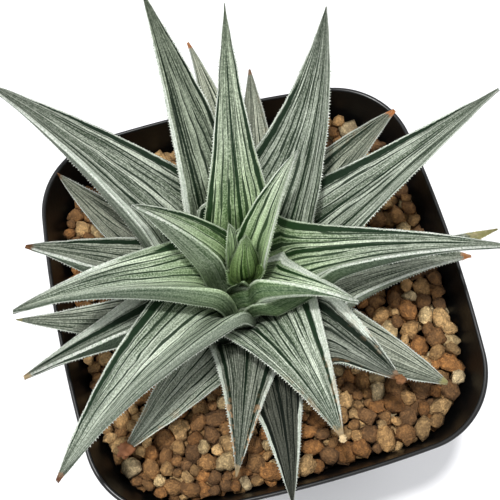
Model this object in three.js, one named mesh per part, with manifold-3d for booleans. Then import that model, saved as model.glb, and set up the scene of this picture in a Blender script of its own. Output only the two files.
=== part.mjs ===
// A potted haworthia: a square plastic pot, its granular soil, the short stem with its roots, and 28 leaves.
// Millimetres, +Z up. The origin is the middle of the pot's flat underside.

import * as THREE from 'three';
import { mergeVertices } from 'three/addons/utils/BufferGeometryUtils.js';
import Module from 'manifold-3d';

const wasm = await Module();
wasm.setup();

// Pot
const potHeight = 76;
const rimHalf = 45;
const baseHalf = 34;
const potWall = 1.1;
const potFloor = 1.6;
const rimCornerRadius = 18.2;
const rimSideRadius = 310;
const baseRounding = 2.5;
const lipRounding = 0.35;
const sideSteps = 4;
const cornerSteps = 7;
const drainRadius = 4;
const drainPlace = 17;
const drainSides = 12;

// Soil
const touchGap = 0.3;
const soilLevel = potHeight - 13.6;
const grainSpacing = 6.4;
const grainRadius = 4.3;
const grainStretch = [ 1, 0.95, 0.68 ];
const grainJitter = 1.2;
const grainSink = 0.8;

// Stem, roots and the heights of the leaves, measured from the plane of the rim
const stemX = -2.5;
const stemTop = 2.5;
const stemProfile = [ [ 3, -27 ], [ 6.5, -17 ], [ 4.8, -6 ], [ 3, 1.5 ], [ 1.5, stemTop ] ];
const stemSides = 16;
const stemHole = 6.5;
const roots = [
	{ turn: 0, reach: 24, top: -23 },
	{ turn: 80, reach: 21, top: -21 },
	{ turn: 120, reach: 18, top: -19 },
	{ turn: 200, reach: 24, top: -23 },
	{ turn: 240, reach: 21, top: -21 },
	{ turn: 320, reach: 18, top: -19 },
];
const rootDrop = 26;
const rootKnee = [ 0.6, 0.25 ];
const rootRadius = 1.7;
const rootEndRadius = 0.7;
const rootSteps = 6;
const rootSides = 6;

// Leaf section and outline
const stations = [ 0, 0.1, 0.22, 0.42, 0.64, 0.84, 0.95, 1 ];
const stationSlices = 6;
const widestAt = 0.2;
const keelFullAt = 0.35;
const edgeThickness = 0.7;
const keelThickness = 1;
const bladeThickness = 0.9;
const bellySwell = 0.12;
const sideKeel = 0.7;
const sideBulge = 0.1;

// The leaves from the heart outwards. Angles are in degrees and sizes in mm:
// azimuth and tilt of the blade, its length and width, the height of its foot from the rim's plane,
// how far it arches over (bend) and turns sideways (side), its roll, the slope of its channel (fold),
// where the keel lies from the middle (0) to an edge (1 or -1), the keel's depth as a share of the width
// (it grows from the foot and is full at keelFullAt), the width of the foot as a share of the width (root),
// how full the outline is (taper), and half the width of its end (tip), larger where the tip has dried off.
const leaves = [
	{ azimuth: -102, tilt: 117, length: 14, width: 7, foot: 3, side: -15, roll: 20, keelDepth: 0.3 },
	{ azimuth: 107, tilt: 71, length: 20, width: 7.5, foot: 4, roll: -10, keelDepth: 0.3 },
	{ azimuth: 48, tilt: 51, length: 34, width: 8.5, foot: 3, side: -20, roll: -20, fold: 25,
		keelDepth: 0.3 },
	{ azimuth: 146, tilt: 44, length: 33, width: 9.5, foot: 5, side: 30, roll: 35, fold: 30,
		keel: 0.9, keelDepth: 0.65, taper: 1.4 },
	{ azimuth: -36, tilt: 39, length: 31, width: 16, foot: 0, bend: 25, side: -15, roll: -45,
		fold: 30, keel: -1, keelDepth: 0.4, root: 0.8, taper: 0.65 },
	{ azimuth: -177, tilt: 32, length: 54, width: 19, foot: 0, bend: 5, side: 30, roll: 30,
		fold: 30, keel: 1, keelDepth: 0.3, taper: 0.85 },
	{ azimuth: -15, tilt: 30, length: 58, width: 20.5, foot: 0, bend: 10, side: -20, roll: -20,
		fold: 40, keel: -1, keelDepth: 0.35, root: 0.85, taper: 0.55 },
	{ azimuth: 81, tilt: 37, length: 61, width: 21, foot: -1, side: -5, fold: 12, taper: 0.55 },
	{ azimuth: -142, tilt: 26, length: 62, width: 19, foot: -2, bend: 15, side: 23, roll: 25,
		fold: 30, keel: 1, taper: 1.1 },
	{ azimuth: 58, tilt: 30, length: 63, width: 28, foot: -1, side: 30, roll: -20, fold: 35,
		taper: 0.8 },
	{ azimuth: 99, tilt: 40, length: 68, width: 18, foot: -3, side: 10, roll: -15, fold: 15,
		keel: 0.5, taper: 1 },
	{ azimuth: 18, tilt: 29, length: 68, width: 23, foot: -2, roll: -15, fold: 25, taper: 0.85 },
	{ azimuth: 134, tilt: 30, length: 70, width: 24, foot: -2, side: 20, roll: 15, keel: 0.9,
		keelDepth: 0.3, taper: 0.9 },
	{ azimuth: -76, tilt: 23, length: 43, width: 26, foot: -4, side: -16, fold: 28, keel: 1,
		keelDepth: 0.05, taper: 0.7, tip: 0.7 },
	{ azimuth: -167, tilt: 20, length: 53, width: 28, foot: -5, side: 10, roll: 45, fold: 32,
		keel: 1, keelDepth: 0.35, taper: 0.6 },
	{ azimuth: -52, tilt: 24, length: 42, width: 17, foot: -3, bend: 5, roll: -5, fold: 35,
		tip: 0.9 },
	{ azimuth: -107, tilt: 12, length: 42, width: 29, foot: -7.5, side: -5, roll: -15, fold: 10,
		keelDepth: 0.12, taper: 0.5 },
	{ azimuth: -93, tilt: 12, length: 49, width: 18, foot: -8, side: -15, fold: 15, taper: 1 },
	{ azimuth: 161, tilt: 27, length: 51, width: 17, foot: -7, roll: 30, fold: 30, keel: 1,
		keelDepth: 0.35 },
	{ azimuth: -10, tilt: 20, length: 51, width: 33, foot: -7, bend: 5, side: -25, roll: -5,
		fold: 15, keel: -1, keelDepth: 0.2, taper: 0.75 },
	{ azimuth: 90, tilt: 24, length: 58, width: 12, foot: -6, side: 20, roll: 20 },
	{ azimuth: 75, tilt: 24, length: 51, width: 14, foot: -7, side: 10, roll: 15 },
	{ azimuth: -3, tilt: 16, length: 58, width: 11, foot: -9, side: 10 },
	{ azimuth: -139, tilt: 14, length: 45, width: 16, foot: -9, roll: -30, fold: 25, taper: 1.1,
		tip: 1.1 },
	{ azimuth: 176, tilt: 15, length: 52, width: 12, foot: -9, side: -20, roll: -10 },
	{ azimuth: -42, tilt: 14, length: 49, width: 14, foot: -9, tip: 1.3 },
	{ azimuth: 35, tilt: 19, length: 54, width: 16, foot: -8, side: -15, roll: -20, fold: 25,
		tip: 0.9 },
	{ azimuth: 135, tilt: 14, length: 52, width: 14, foot: -9, side: -20, roll: -20 },
];
const leafDefaults = {
	bend: 0, side: 0, roll: 0, fold: 20, keel: 0, keelDepth: 0.2, root: 0.5, taper: 1.5, tip: 0.3,
};

const up = new THREE.Vector3( 0, 0, 1 );
const stemAxis = new THREE.Vector3( stemX, 0, 0 );

// Solids

function solidOf( geometry ) {

	const plain = geometry.index ? geometry.clone() : geometry;
	plain.deleteAttribute( 'normal' );
	plain.deleteAttribute( 'uv' );
	const merged = mergeVertices( plain, 1e-4 );
	return new wasm.Manifold( new wasm.Mesh( {
		numProp: 3,
		vertProperties: new Float32Array( merged.attributes.position.array ),
		triVerts: new Uint32Array( merged.index.array ),
	} ) );

}

function geometryOf( solid ) {

	const mesh = solid.getMesh();
	const geometry = new THREE.BufferGeometry();
	geometry.setAttribute( 'position', new THREE.BufferAttribute( new Float32Array( mesh.vertProperties ), 3 ) );
	geometry.setIndex( new THREE.BufferAttribute( new Uint32Array( mesh.triVerts ), 1 ) );
	return geometry;

}

// Closes a stack of flat rings with equal point counts.
function loft( rings ) {

	const count = rings[ 0 ].length;
	const points = rings.flat();
	const index = [];
	for ( let level = 0; level + 1 < rings.length; level ++ ) {

		for ( let i = 0; i < count; i ++ ) {

			const next = ( i + 1 ) % count;
			const a = level * count + i;
			const b = level * count + next;
			const c = a + count;
			const d = b + count;
			index.push( a, b, d, a, d, c );

		}

	}

	const last = ( rings.length - 1 ) * count;
	for ( const [ a, b, c ] of capOf( rings[ 0 ] ) ) index.push( c, b, a );
	for ( const [ a, b, c ] of capOf( rings.at( - 1 ) ) ) index.push( last + a, last + b, last + c );
	const geometry = new THREE.BufferGeometry().setFromPoints( points );
	geometry.setIndex( index );
	return geometry;

}

// Triangles that fill a flat ring, wound the way it runs.
function capOf( ring ) {

	const normal = new THREE.Vector3();
	ring.forEach( ( point, i ) => normal.add( point.clone().cross( ring[ ( i + 1 ) % ring.length ] ) ) );
	const level = new THREE.Quaternion().setFromUnitVectors( normal.normalize(), up );
	const flat = ring.map( ( point ) => point.clone().applyQuaternion( level ) );
	const contour = flat.map( ( point ) => new THREE.Vector2( point.x, point.y ) );
	return THREE.ShapeUtils.triangulateShape( contour, [] );

}

// Keeps the largest of the loose bodies that a cut leaves.
function largestBody( geometry ) {

	const index = geometry.index.array;
	const parent = Array.from( { length: geometry.attributes.position.count }, ( _, i ) => i );
	const rootOf = ( i ) => {

		while ( parent[ i ] !== i ) i = parent[ i ];
		return i;

	};

	for ( let t = 0; t < index.length; t += 3 ) {

		const a = rootOf( index[ t ] );
		parent[ rootOf( index[ t + 1 ] ) ] = a;
		parent[ rootOf( index[ t + 2 ] ) ] = a;

	}

	const volumes = new Map();
	const corner = [ new THREE.Vector3(), new THREE.Vector3(), new THREE.Vector3() ];
	for ( let t = 0; t < index.length; t += 3 ) {

		corner.forEach( ( point, k ) => point.fromBufferAttribute( geometry.attributes.position, index[ t + k ] ) );
		const volume = corner[ 0 ].dot( corner[ 1 ].clone().cross( corner[ 2 ] ) ) / 6;
		const body = rootOf( index[ t ] );
		volumes.set( body, ( volumes.get( body ) ?? 0 ) + volume );

	}

	const best = [ ...volumes ].sort( ( a, b ) => b[ 1 ] - a[ 1 ] )[ 0 ][ 0 ];
	const kept = [];
	for ( let t = 0; t < index.length; t += 3 ) {

		if ( rootOf( index[ t ] ) === best ) kept.push( index[ t ], index[ t + 1 ], index[ t + 2 ] );

	}

	const result = new THREE.BufferGeometry();
	result.setAttribute( 'position', geometry.attributes.position );
	result.setIndex( kept );
	return mergeVertices( result, 1e-4 );

}

// Pot

// The rim's outline: four shallow side arcs joined by corner arcs that meet them smoothly.
function rimOutline() {

	const sideOffset = rimSideRadius - rimHalf;
	const reach = rimSideRadius - rimCornerRadius;
	const cornerCentre = ( Math.sqrt( 2 * reach * reach - sideOffset * sideOffset ) - sideOffset ) / 2;
	const joint = Math.atan2( cornerCentre, cornerCentre + sideOffset );
	const points = [];
	for ( let quarter = 0; quarter < 4; quarter ++ ) {

		const turn = quarter * Math.PI / 2;
		const side = new THREE.Vector2( - sideOffset, 0 ).rotateAround( new THREE.Vector2(), turn );
		const corner = new THREE.Vector2( cornerCentre, cornerCentre ).rotateAround( new THREE.Vector2(), turn );
		const sideArc = new THREE.EllipseCurve(
			side.x, side.y, rimSideRadius, rimSideRadius, turn - joint, turn + joint );
		const cornerArc = new THREE.EllipseCurve(
			corner.x, corner.y, rimCornerRadius, rimCornerRadius, turn + joint, turn + Math.PI / 2 - joint );
		points.push( ...sideArc.getPoints( sideSteps ).slice( 1 ) );
		points.push( ...cornerArc.getPoints( cornerSteps ).slice( 1 ) );

	}

	return points;

}

const outline = rimOutline();

function potRing( half, z ) {

	const scale = half / rimHalf;
	return outline.map( ( point ) => new THREE.Vector3( point.x * scale, point.y * scale, z ) );

}

function halfAt( z ) {

	return baseHalf + ( rimHalf - baseHalf ) * z / potHeight;

}

function makePot() {

	const rounded = baseRounding * ( 1 - Math.SQRT1_2 );
	const outside = loft( [
		potRing( baseHalf - baseRounding, 0 ),
		potRing( halfAt( rounded ) - rounded, rounded ),
		potRing( halfAt( baseRounding ), baseRounding ),
		potRing( halfAt( potHeight - lipRounding ), potHeight - lipRounding ),
		potRing( halfAt( potHeight ) - lipRounding, potHeight ),
	] );
	const inside = loft( [
		potRing( halfAt( potFloor ) - potWall - baseRounding, potFloor ),
		potRing( halfAt( potFloor + baseRounding ) - potWall, potFloor + baseRounding ),
		potRing( halfAt( potHeight ) - potWall, potHeight ),
		potRing( halfAt( potHeight + 1 ) - potWall, potHeight + 1 ),
	] );
	let pot = solidOf( outside ).subtract( solidOf( inside ) );
	for ( const x of [ - drainPlace, drainPlace ] ) {

		for ( const y of [ - drainPlace, drainPlace ] ) {

			const hole = new THREE.CylinderGeometry( drainRadius, drainRadius, 4 * potFloor, drainSides );
			hole.rotateX( Math.PI / 2 );
			hole.translate( x, y, potFloor / 2 );
			pot = pot.subtract( solidOf( hole ) );

		}

	}

	return geometryOf( pot );

}

// Stem and roots, made a second time a little larger to cut their hole in the soil

function makeStem( grow ) {

	const profile = stemProfile.map( ( [ radius, height ] ) => new THREE.Vector2( radius + grow, height ) );
	profile[ 0 ].y -= grow;
	profile.at( -1 ).y += grow;
	profile.unshift( new THREE.Vector2( 0, profile[ 0 ].y ) );
	profile.push( new THREE.Vector2( 0, profile.at( -1 ).y ) );
	const stem = new THREE.LatheGeometry( profile, stemSides );
	stem.rotateX( Math.PI / 2 );
	stem.translate( stemX, 0, potHeight );
	let solid = solidOf( stem );
	for ( const root of roots ) {

		const turn = THREE.MathUtils.degToRad( root.turn );
		const out = new THREE.Vector3( Math.cos( turn ), Math.sin( turn ), 0 );
		const top = stemAxis.clone().setZ( potHeight + root.top );
		const knee = top.clone().addScaledVector( out, rootKnee[ 0 ] * root.reach );
		const end = top.clone().addScaledVector( out, root.reach );
		knee.z -= rootKnee[ 1 ] * rootDrop;
		end.z -= rootDrop;
		const curve = new THREE.QuadraticBezierCurve3( top, knee, end );
		solid = solid.add( solidOf( taperedTube( curve, rootRadius + grow, rootEndRadius + grow ) ) );

	}

	return solid;

}

function taperedTube( curve, startRadius, endRadius ) {

	const frames = curve.computeFrenetFrames( rootSteps, false );
	const rings = [];
	for ( let i = 0; i <= rootSteps; i ++ ) {

		const centre = curve.getPointAt( i / rootSteps );
		const radius = THREE.MathUtils.lerp( startRadius, endRadius, i / rootSteps );
		const ring = [];
		for ( let k = 0; k < rootSides; k ++ ) {

			const turn = k / rootSides * 2 * Math.PI;
			ring.push( centre.clone()
				.addScaledVector( frames.normals[ i ], radius * Math.cos( turn ) )
				.addScaledVector( frames.binormals[ i ], radius * Math.sin( turn ) ) );

		}

		rings.push( ring );

	}

	return loft( rings );

}

// Soil: a bed that fills the pot, with its grains standing out of the top

function seededRandom( seed ) {

	let state = seed;
	return () => {

		state = ( state * 1664525 + 1013904223 ) % 4294967296;
		return state / 4294967296;

	};

}

function makeSoil( hole ) {

	const inset = potWall + touchGap;
	const bed = loft( [
		potRing( halfAt( potFloor ) - inset - baseRounding, potFloor + touchGap ),
		potRing( halfAt( potFloor + baseRounding ) - inset, potFloor + touchGap + baseRounding ),
		potRing( halfAt( soilLevel ) - inset, soilLevel ),
	] );
	let soil = solidOf( bed );
	const random = seededRandom( 7 );
	const jitter = () => ( random() - 0.5 ) * grainJitter;
	const outermost = halfAt( soilLevel ) - inset - grainRadius - grainJitter / 2;
	for ( let half = outermost; half > grainSpacing; half -= grainSpacing ) {

		const row = new THREE.CatmullRomCurve3( potRing( half, 0 ), true );
		for ( const spot of row.getSpacedPoints( Math.round( row.getLength() / grainSpacing ) ).slice( 1 ) ) {

			const grain = new THREE.IcosahedronGeometry( grainRadius + jitter() / 2, 0 );
			grain.rotateX( random() * Math.PI );
			grain.rotateZ( random() * Math.PI );
			grain.scale( ...grainStretch );
			grain.translate( spot.x + jitter(), spot.y + jitter(), soilLevel - grainSink + jitter() / 2 );
			if ( spot.distanceTo( stemAxis ) > stemHole + grainRadius ) soil = soil.add( solidOf( grain ) );

		}

	}

	return soil.subtract( hole );

}

// Leaves

function leafWidth( share, leaf ) {

	const base = leaf.root + ( 1 - leaf.root ) * Math.sin( Math.PI / 2 * Math.min( share / widestAt, 1 ) );
	const rest = Math.max( share - widestAt, 0 ) / ( 1 - widestAt );
	return leaf.width * base * ( 1 - Math.pow( rest, leaf.taper ) );

}

function leafDirection( share, leaf ) {

	const rise = THREE.MathUtils.degToRad( leaf.tilt + leaf.bend * ( 0.5 - share ) );
	const heading = THREE.MathUtils.degToRad( leaf.azimuth + leaf.side * ( share - 0.5 ) );
	const flat = new THREE.Vector3( Math.cos( heading ), Math.sin( heading ), 0 );
	return {
		along: flat.clone().multiplyScalar( Math.cos( rise ) ).addScaledVector( up, Math.sin( rise ) ),
		face: flat.clone().multiplyScalar( - Math.sin( rise ) ).addScaledVector( up, Math.cos( rise ) ),
		left: new THREE.Vector3( - Math.sin( heading ), Math.cos( heading ), 0 ),
	};

}

// One closed blade. grow makes it larger all round, to cut its clearance from the leaves below it.
function makeLeaf( leaf, grow ) {

	const spot = stemAxis.clone().setZ( potHeight + leaf.foot );
	const rings = stations.map( ( share, i ) => {

		const before = stations[ Math.max( i - 1, 0 ) ];
		const slice = ( share - before ) / stationSlices;
		for ( let k = 0; k < stationSlices; k ++ ) {

			spot.addScaledVector( leafDirection( before + ( k + 0.5 ) * slice, leaf ).along, leaf.length * slice );

		}

		return leafRing( leaf, share, spot, grow );

	} );
	return loft( rings );

}

// The section: a channel above, a keel below. It runs from the right edge to the left one and back.
function leafRing( leaf, share, spot, grow ) {

	const { face, left } = leafDirection( share, leaf );
	const grown = Math.sin( Math.PI / 2 * Math.min( share / keelFullAt, 1 ) );
	const roll = THREE.MathUtils.degToRad( leaf.roll );
	const across = left.clone().multiplyScalar( Math.cos( roll ) ).addScaledVector( face, Math.sin( roll ) );
	const over = face.clone().multiplyScalar( Math.cos( roll ) ).addScaledVector( left, - Math.sin( roll ) );
	const half = leafWidth( share, leaf ) / 2 + leaf.tip;
	const slope = Math.tan( THREE.MathUtils.degToRad( leaf.fold ) );
	const topAt = ( u ) => slope * half * Math.abs( u );
	const depth = Math.max( leaf.keelDepth * 2 * half * grown, keelThickness );
	const stretch = ( half + grow ) / half;
	const section = [ - 1, 0, 1 ].map( ( u ) => [ u * half * stretch, topAt( u ) + grow ] );
	const edge = topAt( 1 ) - edgeThickness - grow;
	const keel = [ leaf.keel * half * stretch, topAt( Math.min( Math.abs( leaf.keel ), 1 ) ) - depth - grow ];
	section.push( [ half * stretch, edge ] );
	section.push( bellyPoint( 1 ) );
	section.push( keel );
	section.push( bellyPoint( - 1 ) );
	section.push( [ - half * stretch, edge ] );
	section.reverse();
	return section.map( ( [ x, y ] ) => spot.clone().addScaledVector( across, x ).addScaledVector( over, y ) );

	// Half way from the keel to an edge the lower face swells, and stays clear of the channel.
	// Beside a keel that lies at the edge it bulges outwards instead.
	function bellyPoint( side ) {

		const u = ( side + leaf.keel ) / 2;
		const level = ( edge + keel[ 1 ] ) / 2;
		if ( side * leaf.keel > sideKeel ) return [ u * half * stretch + side * sideBulge * depth, level ];
		const swell = bellySwell * Math.abs( side - leaf.keel ) * half;
		const clear = topAt( Math.min( Math.abs( u ), 1 ) ) - Math.max( bladeThickness, depth / 2 ) - grow;
		return [ u * half * stretch, Math.min( level - swell, clear ) ];

	}

}

// The assembly

const materials = {
	pot: new THREE.MeshStandardMaterial( { color: 0x1b1b1d, roughness: 0.4, metalness: 0 } ),
	soil: new THREE.MeshStandardMaterial( { color: 0x7a5a40, roughness: 0.95, metalness: 0 } ),
	stem: new THREE.MeshStandardMaterial( { color: 0x8d9a6a, roughness: 0.7, metalness: 0 } ),
	leaf: new THREE.MeshStandardMaterial( { color: 0x87967f, roughness: 0.55, metalness: 0 } ),
};

const group = new THREE.Group();

function place( name, geometry, material ) {

	const mesh = new THREE.Mesh( geometry, material );
	mesh.name = name;
	group.add( mesh );

}

place( 'pot', makePot(), materials.pot );
place( 'soil', geometryOf( makeSoil( makeStem( touchGap ) ) ), materials.soil );
place( 'stem_and_roots', geometryOf( makeStem( 0 ) ), materials.stem );

// Each leaf is cut clear of the stem and of every leaf nearer the heart.
const stemRoom = makeStem( touchGap );
const rooms = [];
leaves.forEach( ( values, i ) => {

	const leaf = { ...leafDefaults, ...values };
	let blade = solidOf( makeLeaf( leaf, 0 ) ).subtract( stemRoom );
	for ( const room of rooms ) blade = blade.subtract( room );
	rooms.push( solidOf( makeLeaf( leaf, touchGap ) ) );
	place( 'leaf_' + String( i + 1 ).padStart( 2, '0' ), largestBody( geometryOf( blade ) ), materials.leaf );

} );

export default group;
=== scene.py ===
import math
import random

import bmesh
import bpy
from mathutils import Matrix, Vector, bvhtree, kdtree, noise


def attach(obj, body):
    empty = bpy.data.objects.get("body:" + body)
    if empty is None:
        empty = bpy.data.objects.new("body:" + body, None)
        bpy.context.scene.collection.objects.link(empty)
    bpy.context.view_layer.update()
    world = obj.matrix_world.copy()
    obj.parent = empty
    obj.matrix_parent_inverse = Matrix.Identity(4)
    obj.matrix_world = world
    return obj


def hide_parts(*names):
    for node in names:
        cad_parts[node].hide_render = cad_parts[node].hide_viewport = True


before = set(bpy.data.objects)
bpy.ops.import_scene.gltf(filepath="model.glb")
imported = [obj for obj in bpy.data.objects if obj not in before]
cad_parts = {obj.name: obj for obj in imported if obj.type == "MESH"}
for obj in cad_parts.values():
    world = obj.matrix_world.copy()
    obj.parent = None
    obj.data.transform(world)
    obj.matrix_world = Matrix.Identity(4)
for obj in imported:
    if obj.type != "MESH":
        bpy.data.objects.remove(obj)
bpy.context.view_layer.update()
mm = 0.001
up = Vector((0, 0, 1))

# Camera, at the photograph's angle; all lengths are in mm
view = {
    "lens": 62.64,
    "sensor": 36,
    "place": (-15.68, -54.82, 260.14),
    "aim": (0.235, 7.977, 76),
}


def turnTowards(thing, target):
    thing.rotation_euler = (target - thing.location).to_track_quat("-Z", "Y").to_euler()


cameraData = bpy.data.cameras.new("camera")
cameraData.lens = view["lens"]
cameraData.sensor_width = view["sensor"]
camera = bpy.data.objects.new("camera", cameraData)
camera.location = Vector(view["place"]) * mm
turnTowards(camera, Vector(view["aim"]) * mm)
bpy.context.collection.objects.link(camera)
bpy.context.scene.camera = camera
print("camera placed")


# Shader maths: a Wire is an output socket with arithmetic
class Wire:
    def __init__(self, skin, socket):
        self.skin = skin
        self.socket = socket

    def maths(self, operation, *inputs):
        return self.skin.node("ShaderNodeMath", inputs, operation=operation)

    def __add__(self, other):
        return self.maths("ADD", self, other)

    def __sub__(self, other):
        return self.maths("SUBTRACT", self, other)

    def __mul__(self, other):
        return self.maths("MULTIPLY", self, other)

    def __radd__(self, other):
        return self.maths("ADD", other, self)

    def __rsub__(self, other):
        return self.maths("SUBTRACT", other, self)

    def __rmul__(self, other):
        return self.maths("MULTIPLY", other, self)

    def __neg__(self):
        return self.maths("MULTIPLY", self, -1)

    def size(self):
        return self.maths("ABSOLUTE", self)

    def most(self, other):
        return self.maths("MAXIMUM", self, other)

    def least(self, other):
        return self.maths("MINIMUM", self, other)


class Skin:
    def __init__(self, name, **plain):
        self.material = bpy.data.materials.new(name)
        self.material.use_nodes = True
        self.tree = self.material.node_tree
        self.shader = self.tree.nodes["Principled BSDF"]
        for key, value in plain.items():
            self.shader.inputs[key.replace("_", " ")].default_value = value

    def node(self, kind, inputs=(), out=0, **settings):
        made = self.tree.nodes.new(kind)
        for key, value in settings.items():
            setattr(made, key, value)
        pairs = inputs.items() if isinstance(inputs, dict) else enumerate(inputs)
        for key, value in pairs:
            if isinstance(value, Wire):
                self.tree.links.new(value.socket, made.inputs[key])
            else:
                made.inputs[key].default_value = value
        return Wire(self, made.outputs[out])

    def attribute(self, name, out="Fac"):
        return self.node("ShaderNodeAttribute", out=out, attribute_name=name)

    def place(self):
        return self.node("ShaderNodeTexCoord", out="Object")

    def vector(self, x, y, z):
        return self.node("ShaderNodeCombineXYZ", [x, y, z])

    def noise(self, vector, scale, detail, roughness=0.5):
        inputs = {"Vector": vector, "Scale": scale, "Detail": detail, "Roughness": roughness}
        return self.node("ShaderNodeTexNoise", inputs)

    def step(self, value, low, high):
        inputs = {"Value": value, "From Min": low, "From Max": high}
        return self.node("ShaderNodeMapRange", inputs, interpolation_type="SMOOTHSTEP")

    def mix(self, factor, a, b):
        a, b = ((*color, 1) if isinstance(color, tuple) else color for color in (a, b))
        return self.node("ShaderNodeMix", {0: factor, 6: a, 7: b}, out=2, data_type="RGBA")

    def scale(self, color, factor):
        return self.node("ShaderNodeVectorMath", {0: color, "Scale": factor}, operation="SCALE")

    def parts(self, vector):
        split = self.node("ShaderNodeSeparateXYZ", [vector]).socket.node
        return [Wire(self, socket) for socket in split.outputs]

    def bump(self, height, distance):
        return self.node("ShaderNodeBump", {"Height": height, "Distance": distance, "Strength": 1.0})

    def into(self, name, wire):
        self.tree.links.new(wire.socket, self.shader.inputs[name])


# Meshes, from points in mm
def makeObject(name, points, faces, skin, smooth=True):
    mesh = bpy.data.meshes.new(name)
    mesh.from_pydata([Vector(p) * mm for p in points], [], faces)
    mesh.validate()
    mesh.materials.append(skin.material)
    mesh.polygons.foreach_set("use_smooth", [smooth] * len(mesh.polygons))
    made = bpy.data.objects.new(name, mesh)
    bpy.context.collection.objects.link(made)
    return made


def setFloats(made, name, values):
    layer = made.data.attributes.new(name, "FLOAT", "POINT")
    layer.data.foreach_set("value", values)


def setVectors(made, name, values):
    layer = made.data.attributes.new(name, "FLOAT_VECTOR", "POINT")
    layer.data.foreach_set("vector", values)


def setColors(made, name, values):
    layer = made.data.attributes.new(name, "FLOAT_COLOR", "POINT")
    layer.data.foreach_set("color", [part for value in values for part in (*value, 1.0)])


def loft(rings):
    count = len(rings[0])
    points = [point for ring in rings for point in ring]
    last = len(points) - count
    faces = []
    for start in range(0, last, count):
        for i in range(count):
            a, b = start + i, start + (i + 1) % count
            faces.append((a, b, b + count, a + count))
    faces.append(tuple(reversed(range(count))))
    faces.append(tuple(range(last, len(points))))
    return points, faces


# Pot: one loft up the outside, over the lip and down the inside. dustTop and shineFrom are the heights
# between which the dust ends and the shine of the lip begins.
pot = {
    "height": 76,
    "rimHalf": 45,
    "baseHalf": 34,
    "wall": 1.1,
    "floor": 1.6,
    "cornerRadius": 18.2,
    "sideRadius": 310,
    "baseRounding": 2.5,
    "lipRounding": 0.5,
    "drainRadius": 4,
    "drainPlace": 17,
    "drainDepth": 8,
    "sideSteps": 20,
    "cornerSteps": 24,
    "baseSteps": 6,
    "lipSteps": 8,
    "drainSteps": 40,
    "levels": [20, 40, 60],
    "sharpAngle": 35,
    "tones": [(0.0045, 0.0045, 0.0045), (0.006, 0.006, 0.006)],
    "dustTone": (0.06, 0.036, 0.024),
    "dustTop": (65, 70.5),
    "shineFrom": (75.2, 75.8),
}


def arcPoint(angle, radius, middle):
    return Vector((math.cos(angle), math.sin(angle))) * radius + Vector(middle)


# Four bowed sides joined by four corners, each arc running smoothly into the next
def rimOutline():
    sideOffset = pot["sideRadius"] - pot["rimHalf"]
    reach = pot["sideRadius"] - pot["cornerRadius"]
    middle = (math.sqrt(2 * reach * reach - sideOffset * sideOffset) - sideOffset) / 2
    joint = math.atan2(middle, middle + sideOffset)
    quarter = []
    for i in range(1, pot["sideSteps"] + 1):
        angle = joint * (2 * i / pot["sideSteps"] - 1)
        quarter.append(arcPoint(angle, pot["sideRadius"], (-sideOffset, 0)))
    for i in range(1, pot["cornerSteps"] + 1):
        angle = joint + (math.pi / 2 - 2 * joint) * i / pot["cornerSteps"]
        quarter.append(arcPoint(angle, pot["cornerRadius"], (middle, middle)))
    turns = [Matrix.Rotation(i * math.pi / 2, 2) for i in range(4)]
    return [turn @ point for turn in turns for point in quarter]


outline = rimOutline()


def halfAt(z):
    return pot["baseHalf"] + (pot["rimHalf"] - pot["baseHalf"]) * z / pot["height"]


def potRing(half, z):
    scale = half / pot["rimHalf"]
    return [(p.x * scale, p.y * scale, z) for p in outline]


def arcRings(half, z, radius, start, end, steps):
    rings = []
    for i in range(steps + 1):
        angle = math.radians(start + (end - start) * i / steps)
        rings.append(potRing(half + radius * math.cos(angle), z + radius * math.sin(angle)))
    return rings


# Matt black, with dust from the soil on the inside of the wall and a shine on the lip
plastic = Skin("pot_plastic", Roughness=0.34, IOR=1.5, Specular_IOR_Level=0.15, Coat_Roughness=0.25)
spot = plastic.place()
grit = plastic.noise(spot, 900, 4, 0.6)
height = plastic.parts(spot)[2]
ragged = height + plastic.noise(spot, 160, 3) * 0.008
nearSoil = 1 - plastic.step(ragged, *(z * mm for z in pot["dustTop"]))
dust = plastic.step(plastic.noise(spot, 420, 5, 0.65), 0.46, 0.66)
dust = dust * nearSoil * plastic.attribute("inner")
film = plastic.step(plastic.noise(spot, 30, 3), 0.3, 0.8)
plain = plastic.mix(film * 0.3, *pot["tones"])
plastic.into("Base Color", plastic.mix(dust * 0.12, plain, pot["dustTone"]))
plastic.into("Roughness", film * 0.03 + dust * 0.3 + 0.36)
plastic.into("Coat Weight", plastic.step(height, *(z * mm for z in pot["shineFrom"])) * 0.5)
plastic.into("Normal", plastic.bump(grit, 0.00004))


def drainCutter():
    drains = bmesh.new()
    radius = pot["drainRadius"] * mm
    for x in (-pot["drainPlace"], pot["drainPlace"]):
        for y in (-pot["drainPlace"], pot["drainPlace"]):
            place = Matrix.Translation(Vector((x, y, 0)) * mm)
            bmesh.ops.create_cone(drains, cap_ends=True, segments=pot["drainSteps"], radius1=radius,
                                  radius2=radius, depth=pot["drainDepth"] * mm, matrix=place)
    mesh = bpy.data.meshes.new("drains")
    drains.to_mesh(mesh)
    drains.free()
    cutter = bpy.data.objects.new("drains", mesh)
    bpy.context.collection.objects.link(cutter)
    return cutter


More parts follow.
